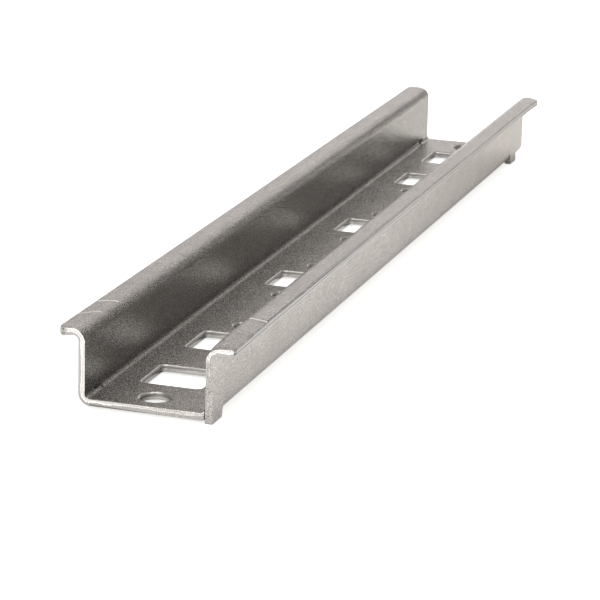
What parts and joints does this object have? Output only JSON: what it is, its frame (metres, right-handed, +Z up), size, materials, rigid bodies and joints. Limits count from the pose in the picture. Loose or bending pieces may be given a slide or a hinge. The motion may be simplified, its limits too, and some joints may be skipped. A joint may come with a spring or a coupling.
{
  "type": "mounting rail",
  "caption": "Straight top-hat mounting rail folded from sheet steel, with outward lips and a floor row of square windows and round screw holes.",
  "frame": {"origin": "centre of the rail's footprint, at the level of the feet's lower ends", "axes": "+X across the channel, +Y along the rail, +Z up out of the open channel"},
  "size_m": [0.035, 0.24, 0.0155],
  "materials": {
    "zinc_plated_steel": "zinc-plated sheet, matt and finely speckled, with bright cut edges"
  },
  "bodies": {
    "root": {"rail": "zinc_plated_steel"}
  },
  "joints": []
}
